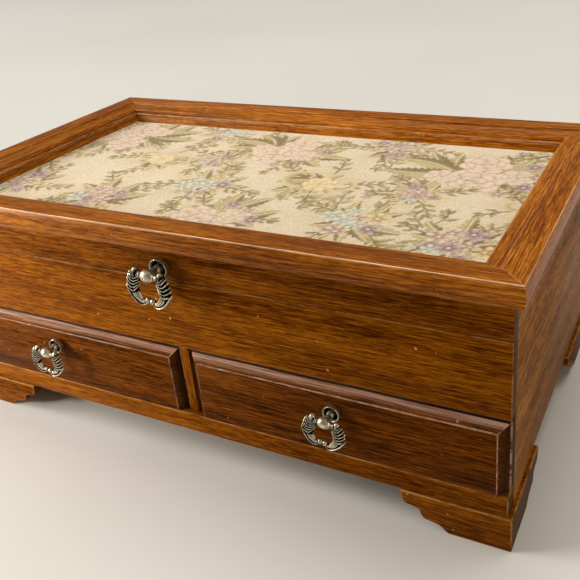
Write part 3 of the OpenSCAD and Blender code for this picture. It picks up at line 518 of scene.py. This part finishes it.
def paintTapestry(x, y, look):
    # x and y are the points' places in millimetres from the middle; returns their colours
    chance = random.Random(look["seed"])

    def rgb(name):
        return np.array([int(look[name][i:i + 2], 16) / 255 for i in (1, 3, 5)])

    def shades(name):
        return name, name + "Pale", name + "Dark"

    green, pink, violet, blue, gold = (shades(name) for name in ("leaf", "rose", "violet", "blue", "gold"))
    cloth = np.tile(rgb("ground"), (len(x), 1))
    speck = np.random.default_rng(look["seed"]).random(len(x))

    def near(cx, cy, reach):
        return np.nonzero((np.abs(x - cx) < reach) & (np.abs(y - cy) < reach))[0]

    def lay(rows, amount, colour):
        # shades are woven as single stitches, so an amount under one leaves stitches out
        amount = np.clip(amount * 1.25 - 0.25 * speck[rows], 0, 1)[:, None]
        cloth[rows] = cloth[rows] * (1 - amount) + rgb(colour) * amount

    def haze(cx, cy, size):
        rows = near(cx, cy, size * 1.3)
        r = np.hypot(x[rows] - cx, y[rows] - cy) / size
        lumps = 0.16 * np.sin(5 * np.arctan2(y[rows] - cy, x[rows] - cx) + cx)
        lay(rows, np.clip(1.1 - r + lumps, 0, 1) * 0.8, "haze")

    def leaf(cx, cy, angle, length, width, toothed=True):
        rows = near(cx + math.cos(angle) * length / 2, cy + math.sin(angle) * length / 2, length * 0.8)
        dx, dy = x[rows] - cx, y[rows] - cy
        bend = chance.uniform(-0.35, 0.35) * width
        along = (dx * math.cos(angle) + dy * math.sin(angle)) / length
        across = (-dx * math.sin(angle) + dy * math.cos(angle)) - bend * np.sin(np.clip(along, 0, 1) * 3.1)
        edge = width / 2 * np.sin(np.pi * np.clip(along, 0, 1) ** 0.8) ** 0.85
        if toothed:
            edge = edge * (1 + 0.42 * (((along * length / 3.4 + (across > 0) * 0.4) % 1) - 0.5))
        gap = (edge - np.abs(across)) * (along > 0) * (along < 1)
        body = np.clip(gap / 0.5, 0, 1)
        lay(rows, body, green[0])
        lay(rows, body * (across > 0.12 * width) * 0.75, green[1])
        veins = np.abs(((along * length - np.abs(across) * 1.1) / 2.5) % 1 - 0.5) * 2
        lay(rows, body * np.clip(veins * 2 - 1.0, 0, 1) * 0.8, green[2])
        lay(rows, body * (across < 0) * np.clip(-across / width * 3.4, 0, 0.9), green[2])
        lay(rows, body * np.clip(1.15 - gap / 0.8, 0, 1) * (0.35 + 0.4 * (across < 0)), "stem")
        if width > 4:
            lay(rows, body * np.clip(1.3 - np.abs(across) / 0.55, 0, 1) * 0.9, "rib")

    def onStalk(cx, cy, angle, length, bend, t):
        # the point at the share t of a stalk that bends as it goes
        a = angle + bend * t / 2
        return cx + math.cos(a) * length * t, cy + math.sin(a) * length * t

    def stalk(cx, cy, angle, length, bend, thick=0.5):
        steps = max(6, int(length / 0.7))
        for i in range(steps + 1):
            px, py = onStalk(cx, cy, angle, length, bend, i / steps)
            rows = near(px, py, 2)
            lay(rows, np.clip(1.5 - np.hypot(x[rows] - px, y[rows] - py) / thick, 0, 0.9), "stem")

    def sprig(cx, cy, angle, length, bend, big=1.0):
        stalk(cx, cy, angle, length, bend)
        pairs = max(2, round(length / 5.6))
        for i in range(1, pairs + 1):
            t = i / pairs
            px, py = onStalk(cx, cy, angle, length, bend, t)
            for side in (-1, 1):
                a = angle + bend * t + side * (1.0 - 0.35 * t)
                leaf(px, py, a, big * (8.6 - 2.4 * t), big * 3.3, toothed=False)
        leaf(px, py, angle + bend, big * 7, big * 3.6, toothed=False)

    def fan(cx, cy, angle, spread, count, length, width):
        for k in sorted(range(count), key=lambda k: -abs(k - (count - 1) / 2)):
            a = angle + spread * (k / max(1, count - 1) - 0.5) + chance.uniform(-0.12, 0.12)
            size = 1 - 0.28 * abs(k / max(1, count - 1) - 0.5) * 2
            leaf(cx, cy, a, length * size * chance.uniform(0.88, 1.08), width * size)

    def scroll(cx, cy, angle, size, way):
        # an acanthus curl: a stroke that winds inwards, thick at its root and lobed outside
        steps = 44
        for i in range(steps + 1):
            t = i / steps
            a = angle + way * t * 4.9
            r = size * (1 - 0.74 * t)
            px, py = cx + math.cos(a) * r, cy + math.sin(a) * r
            thick = size * (0.23 - 0.13 * t) * (1 + 0.3 * abs(math.sin(t * 17)))
            rows = near(px, py, thick * 2 + 1)
            stroke = np.clip((thick - np.hypot(x[rows] - px, y[rows] - py)) / 0.6, 0, 1)
            outer = (np.hypot(x[rows] - cx, y[rows] - cy) - r) / thick
            lay(rows, stroke * 0.85, "scroll")
            lay(rows, stroke * np.clip(outer, 0, 0.8), "scrollPale")
            lay(rows, stroke * np.clip(-outer * 0.9, 0, 0.6), "scrollDark")

    def rose(cx, cy, size, tones=pink):
        rows = near(cx, cy, size * 1.3)
        dx, dy = x[rows] - cx, y[rows] - cy
        turn = chance.uniform(0, 6.3)
        for ring, count, petal in ((0.66, 7, 0.42), (0.42, 6, 0.36), (0.2, 4, 0.28), (0.05, 2, 0.17)):
            for k in range(count):
                a = turn + 2 * math.pi * k / count + ring * 4
                px, py = math.cos(a) * ring * size, math.sin(a) * ring * size
                r = np.hypot(dx - px, (dy - py) * 1.1) / (petal * size)
                inside = np.clip((1 - r) * petal * size / 0.5, 0, 1)
                outward = ((dx - px) * math.cos(a) + (dy - py) * math.sin(a)) / (petal * size)
                lay(rows, inside, tones[0])
                lay(rows, inside * np.clip(0.5 + outward * 1.1, 0, 1) * 0.95, tones[1])
                lay(rows, inside * np.clip(-outward * 1.1, 0, 1) * 0.8, tones[2])
                lay(rows, inside * np.clip(r * 5 - 3.9, 0, 1) * 0.8, tones[2])

    def blossom(cx, cy, size, tones, petals=5, sharp=0.75):
        rows = near(cx, cy, size * 1.3)
        dx, dy = x[rows] - cx, y[rows] - cy
        a = np.arctan2(dy, dx) - chance.uniform(0, 6.3)
        r = np.hypot(dx, dy)
        petal = np.abs(np.cos(a * petals / 2))
        edge = size * (0.32 + 0.68 * petal ** sharp)
        inside = np.clip((edge - r) / 0.5, 0, 1)
        lay(rows, inside, tones[0])
        lay(rows, inside * np.clip(r / size * 1.8 - 0.5, 0, 1) * petal * 0.9, tones[1])
        lay(rows, inside * np.clip(1.25 - petal * 1.6, 0, 1) * 0.95, tones[2])
        lay(rows, inside * np.clip(1.1 - (edge - r) / 0.8, 0, 1) * 0.7, tones[2])
        lay(rows, inside * np.clip(1.2 - r / size * 2.6, 0, 1) * 0.7, tones[2])
        lay(rows, np.clip(1.8 - r / (0.12 * size), 0, 1), "rosePale")

    def off(cx, cy, angle, far):
        return cx + far * math.cos(angle), cy + far * math.sin(angle)

    def bunch(cx, cy, size, turn, kind):
        haze(cx, cy, 33 * size)
        for k in range(4):
            a = turn + 0.8 + k * 1.6 + chance.uniform(-0.3, 0.3)
            sprig(*off(cx, cy, a, 12 * size), a, chance.uniform(17, 25) * size, chance.uniform(-0.9, 0.9))
        if kind == "roses":
            fan(*off(cx, cy, turn, 11), turn, 3.0, 7, 36 * size, 12.5 * size)
            fan(*off(cx, cy, turn, -11), turn + 3.2, 2.9, 7, 33 * size, 12 * size)
            for a, d, r in ((1.4, 10, 14), (4.5, 11, 11.5), (2.9, 17, 8.5), (0.3, 16, 7.5)):
                rose(*off(cx, cy, turn + a, d * size), r * size)
            for k in range(4):
                blossom(*off(cx, cy, turn + 2 + k * 0.5, 25 * size), 5.5 * size, violet if k % 2 else pink)
        elif kind == "violets":
            fan(cx, cy, turn, 5.4, 9, 32 * size, 10.5 * size)
            row = (pink, violet, pink, gold, violet, pink, blue, violet, pink, violet, pink, violet)
            for k, tones in enumerate(row):
                at = off(cx, cy, turn + 0.4 + k * 1.31, (5 if k % 3 == 2 else 13) * size)
                blossom(*at, chance.uniform(5, 7.2) * size, tones, petals=5, sharp=0.8)
        elif kind == "blues":
            fan(cx, cy, turn, 5.6, 10, 29 * size, 9.5 * size)
            for k, tones in enumerate((blue, pink, blue, violet, blue, gold, blue, blue, pink, violet)):
                at = off(cx, cy, turn + k * 1.32, (4 if k % 3 == 1 else 12) * size)
                blossom(*at, chance.uniform(5, 7.5) * size, tones, petals=6, sharp=0.8)
        else:
            fan(cx, cy, turn + 1.5, 2.4, 6, 28 * size, 10 * size)
            scroll(cx + 12 * size, cy, turn, 13 * size, 1)
            scroll(cx - 12 * size, cy + 4, turn + 2.6, 11.5 * size, -1)
            scroll(cx, cy - 14, turn + 4.2, 9 * size, 1)
            rose(cx, cy - 3 * size, 9 * size, ("gold", "goldPale", "roseDark"))

    # place in millimetres, size, turn and kind of each bunch
    bunches = [
        (-121, 44, 1.1, 0.4, "roses"), (-132, -42, 0.95, 2.0, "violets"), (-74, 14, 0.9, 3.6, "curls"),
        (-70, -50, 1.0, 1.2, "violets"), (-58, 62, 0.85, 5.0, "blues"), (-24, -18, 0.95, 0.9, "blues"),
        (-6, 44, 1.0, 2.9, "roses"), (4, -62, 1.0, 4.2, "roses"), (38, 2, 1.05, 2.2, "curls"),
        (56, 62, 0.95, 5.6, "violets"), (74, -40, 1.0, 0.2, "blues"), (112, 34, 1.2, 3.3, "roses"),
        (128, -50, 0.95, 1.7, "violets"), (150, -6, 0.8, 4.4, "curls"), (-150, 2, 0.8, 0.0, "curls"),
        (92, 0, 0.7, 2.6, "violets"), (-38, 18, 0.62, 1.9, "violets"),
    ]
    for _ in range(look["sprigs"]):
        cx, cy, a = chance.uniform(-150, 150), chance.uniform(-75, 75), chance.uniform(0, 6.3)
        if min(math.hypot(cx - b[0], cy - b[1]) for b in bunches) > look["sprigGap"]:
            sprig(cx, cy, a, chance.uniform(11, 18), chance.uniform(-1.2, 1.2), 1.1)
            if chance.random() < 0.6:
                blossom(cx, cy, chance.uniform(3.6, 5), chance.choice([violet, blue, gold]))
    for each in bunches:
        bunch(*each)
    # threads vary, and a twill runs through
    twill = 0.012 * np.sin((x + 0.8 * y) * 2 * np.pi / look["twill"])
    return np.clip(cloth * (1 + twill + 0.1 * (speck - 0.5))[:, None], 0, 1)


def tapestryMaterial():
    material, tree, shader = newMaterial("floralTapestry")
    place = objectPlace(tree)
    threads = []
    for direction, scale in (("X", 500.0), ("Y", 330.0)):
        values = {"Vector": place, "Scale": scale, "Distortion": 1.5, "Detail": 2.0, "Detail Scale": 0.6}
        wave = add(tree, "ShaderNodeTexWave", values, wave_type="BANDS", bands_direction=direction)
        threads.append(wave.outputs["Fac"])
    weave = maths(tree, "MULTIPLY", *threads)
    slub = noise(tree, stretched(tree, place, (200, 1100, 900)), detail=3)
    dim = ramp(tree, weighted(tree, [(weave, 0.22), (slub, 0.25)]), [(0.05, 0.78), (0.35, 1.0)])
    colour = mix(tree, 1.0, painted(tree, "stitches", "Color"), dim, "MULTIPLY")
    tree.links.new(colour, shader.inputs["Base Color"])
    setBump(tree, shader, maths(tree, "ADD", weave, maths(tree, "MULTIPLY", slub, 0.6)), 0.5, 0.0002)
    shader.inputs["Roughness"].default_value = 0.9
    shader.inputs["Sheen Weight"].default_value = 0.15
    return material


tapestry, flat = flatCloth("tapestryCloth", "tapestry", 0, tapestryLook["cell"], "lid",
                           tapestryMaterial())
count = len(tapestry.data.vertices)
points = np.zeros(count * 3)
tapestry.data.vertices.foreach_get("co", points)
points = points.reshape(-1, 3)
low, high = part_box("tapestry")
middle = (low + high) / 2
stitches = paintTapestry((points[:, 0] - middle.x) / mm, (points[:, 1] - middle.y) / mm, tapestryLook)
linear = np.where(stitches <= 0.04045, stitches / 12.92, ((stitches + 0.055) / 1.055) ** 2.4)
colours = tapestry.data.color_attributes.new("stitches", "FLOAT_COLOR", "POINT")
colours.data.foreach_set("color", np.column_stack([linear, np.ones(count)]).astype(np.float32).ravel())
print("tapestry woven:", count, "points")

wineFelt = feltMaterial("wineFelt", "#3d0d15", "#7c2430")
feltLook = {"cell": 4 * mm, "below": 0.1 * mm}
for node, body, rest in (("compartment_lining", "case", "compartment_floor"),
                         ("drawer_left_lining", "drawer_left", "drawer_left_bottom"),
                         ("drawer_right_lining", "drawer_right", "drawer_right_bottom")):
    felt, flat = flatCloth(wordsJoined(node) + "Felt", node, feltLook["below"], feltLook["cell"], body,
                           wineFelt)

# rolls of felt with rounded ends, side by side on a thin bed
rollLook = {"count": 12, "across": 13 * mm, "sides": 28, "round": 2.2 * mm, "segments": 4, "bed": 3 * mm}
low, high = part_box("ring_rolls")
middle, size = (low + high) / 2, high - low
radius = rollLook["across"] / 2
pitch = (size.y - rollLook["across"]) / (rollLook["count"] - 1)
lengthways = Matrix.Rotation(math.pi / 2, 4, "Y")
shape = bmesh.new()
for i in range(rollLook["count"]):
    centre = (middle.x, low.y + radius + i * pitch, low.z + radius)
    made = bmesh.ops.create_cone(shape, cap_ends=True, segments=rollLook["sides"],
                                 radius1=radius, radius2=radius, depth=size.x,
                                 matrix=Matrix.Translation(centre) @ lengthways)
    ends = {e for v in made["verts"] for e in v.link_edges if any(len(f.verts) > 4 for f in e.link_faces)}
    bmesh.ops.bevel(shape, geom=list(ends), offset=rollLook["round"], offset_type="OFFSET", affect="EDGES",
                    segments=rollLook["segments"], profile=0.5, material=-1)
bedPlace = Matrix.Translation((middle.x, middle.y, low.z + rollLook["bed"] / 2))
bedSize = Matrix.Diagonal((size.x, size.y - rollLook["across"], rollLook["bed"], 1))
bmesh.ops.create_cube(shape, size=1.0, matrix=bedPlace @ bedSize)
rolls = finishPiece("ringRolls", shape, "case", wineFelt, ["ring_rolls"], smoothAngle=50)

mirror = frame["nodes"]["mirror"]
mirror.data.materials.clear()
mirror.data.materials.append(mirrorMaterial())
print("cloth, felts and mirror made")

floorLook = {"size": 12.0, "colour": "#d6d4d0", "shade": "#d0cdc8", "patches": 1.4, "rough": 0.6}
shape = bmesh.new()
bmesh.ops.create_grid(shape, x_segments=1, y_segments=1, size=floorLook["size"] / 2)
mesh = bpy.data.meshes.new("paleFloor")
shape.to_mesh(mesh)
shape.free()
floor = bpy.data.objects.new("paleFloor", mesh)
bpy.context.scene.collection.objects.link(floor)
floorPaint, tree, shader = newMaterial("paleFloor")
patches = noise(tree, objectPlace(tree), floorLook["patches"], 3)
patches = ramp(tree, patches, [(0.35, floorLook["shade"]), (0.65, floorLook["colour"])])
tree.links.new(patches, shader.inputs["Base Color"])
shader.inputs["Roughness"].default_value = floorLook["rough"]
mesh.materials.append(floorPaint)

roomLight = {"colour": (1.0, 0.97, 0.92, 1), "strength": 0.16}
world = bpy.data.worlds.new("softRoom")
bpy.context.scene.world = world
world.use_nodes = True
background = world.node_tree.nodes["Background"]
background.inputs["Color"].default_value = roomLight["colour"]
background.inputs["Strength"].default_value = roomLight["strength"]

lights = {
    # name: place, aim, size in x and y, watts, colour, spread in degrees
    "lampLeft": ((-0.42, -0.36, 0.2), (-0.13, -0.08, 0.085), 0.11, 0.11, 0.18, (1.0, 0.94, 0.86), 42),
    "windowLeft": ((-4.5, -1.4, 3.0), (0, 0, 0.06), 2.2, 2.2, 235, (1.0, 0.97, 0.92), 180),
    "roomAbove": ((0.1, 0.9, 3.2), (0, 0.3, 0.1), 2.6, 2.0, 76, (1.0, 0.96, 0.88), 180),
    "warmRight": ((1.9, -0.5, 0.7), (0.1, 0, 0.05), 0.9, 0.9, 10, (1.0, 0.8, 0.52), 180),
}
for name, (place, aim, sizeX, sizeY, power, colour, spread) in lights.items():
    lamp = bpy.data.lights.new(name, "AREA")
    lamp.shape = "RECTANGLE"
    lamp.size, lamp.size_y, lamp.energy, lamp.color = sizeX, sizeY, power, colour
    lamp.spread = math.radians(spread)
    holder = bpy.data.objects.new(name, lamp)
    bpy.context.scene.collection.objects.link(holder)
    holder.location = place
    holder.rotation_euler = (Vector(aim) - Vector(place)).to_track_quat("-Z", "Y").to_euler()

# the photograph's viewpoint, found from the box's own edges
eye = {"place": (0.216774, -0.328696, 0.267235), "yaw": 27.92, "pitch": -24.47, "roll": -4.83,
       "focal": 768.926, "centre": (331.73, 229.61), "frame": 580, "sensor": 36.0}
yaw, pitch, roll = (math.radians(eye[k]) for k in ("yaw", "pitch", "roll"))
forward = Vector((-math.sin(yaw) * math.cos(pitch), math.cos(yaw) * math.cos(pitch), math.sin(pitch)))
right = Vector((math.cos(yaw), math.sin(yaw), 0))
up = right.cross(forward)
right, up = right * math.cos(roll) + up * math.sin(roll), up * math.cos(roll) - right * math.sin(roll)
lens = bpy.data.cameras.new("photoView")
lens.sensor_width = eye["sensor"]
lens.sensor_fit = "HORIZONTAL"
lens.lens = eye["focal"] / eye["frame"] * eye["sensor"]
lens.shift_x = -(eye["centre"][0] - eye["frame"] / 2) / eye["frame"]
lens.shift_y = (eye["centre"][1] - eye["frame"] / 2) / eye["frame"]
lens.clip_start = 0.01
camera = bpy.data.objects.new("photoView", lens)
bpy.context.scene.collection.objects.link(camera)
camera.matrix_world = Matrix.Translation(eye["place"]) @ Matrix((right, up, -forward)).transposed().to_4x4()
bpy.context.scene.camera = camera
bpy.context.scene.view_settings.view_transform = "Standard"
print("floor, lights and camera set")
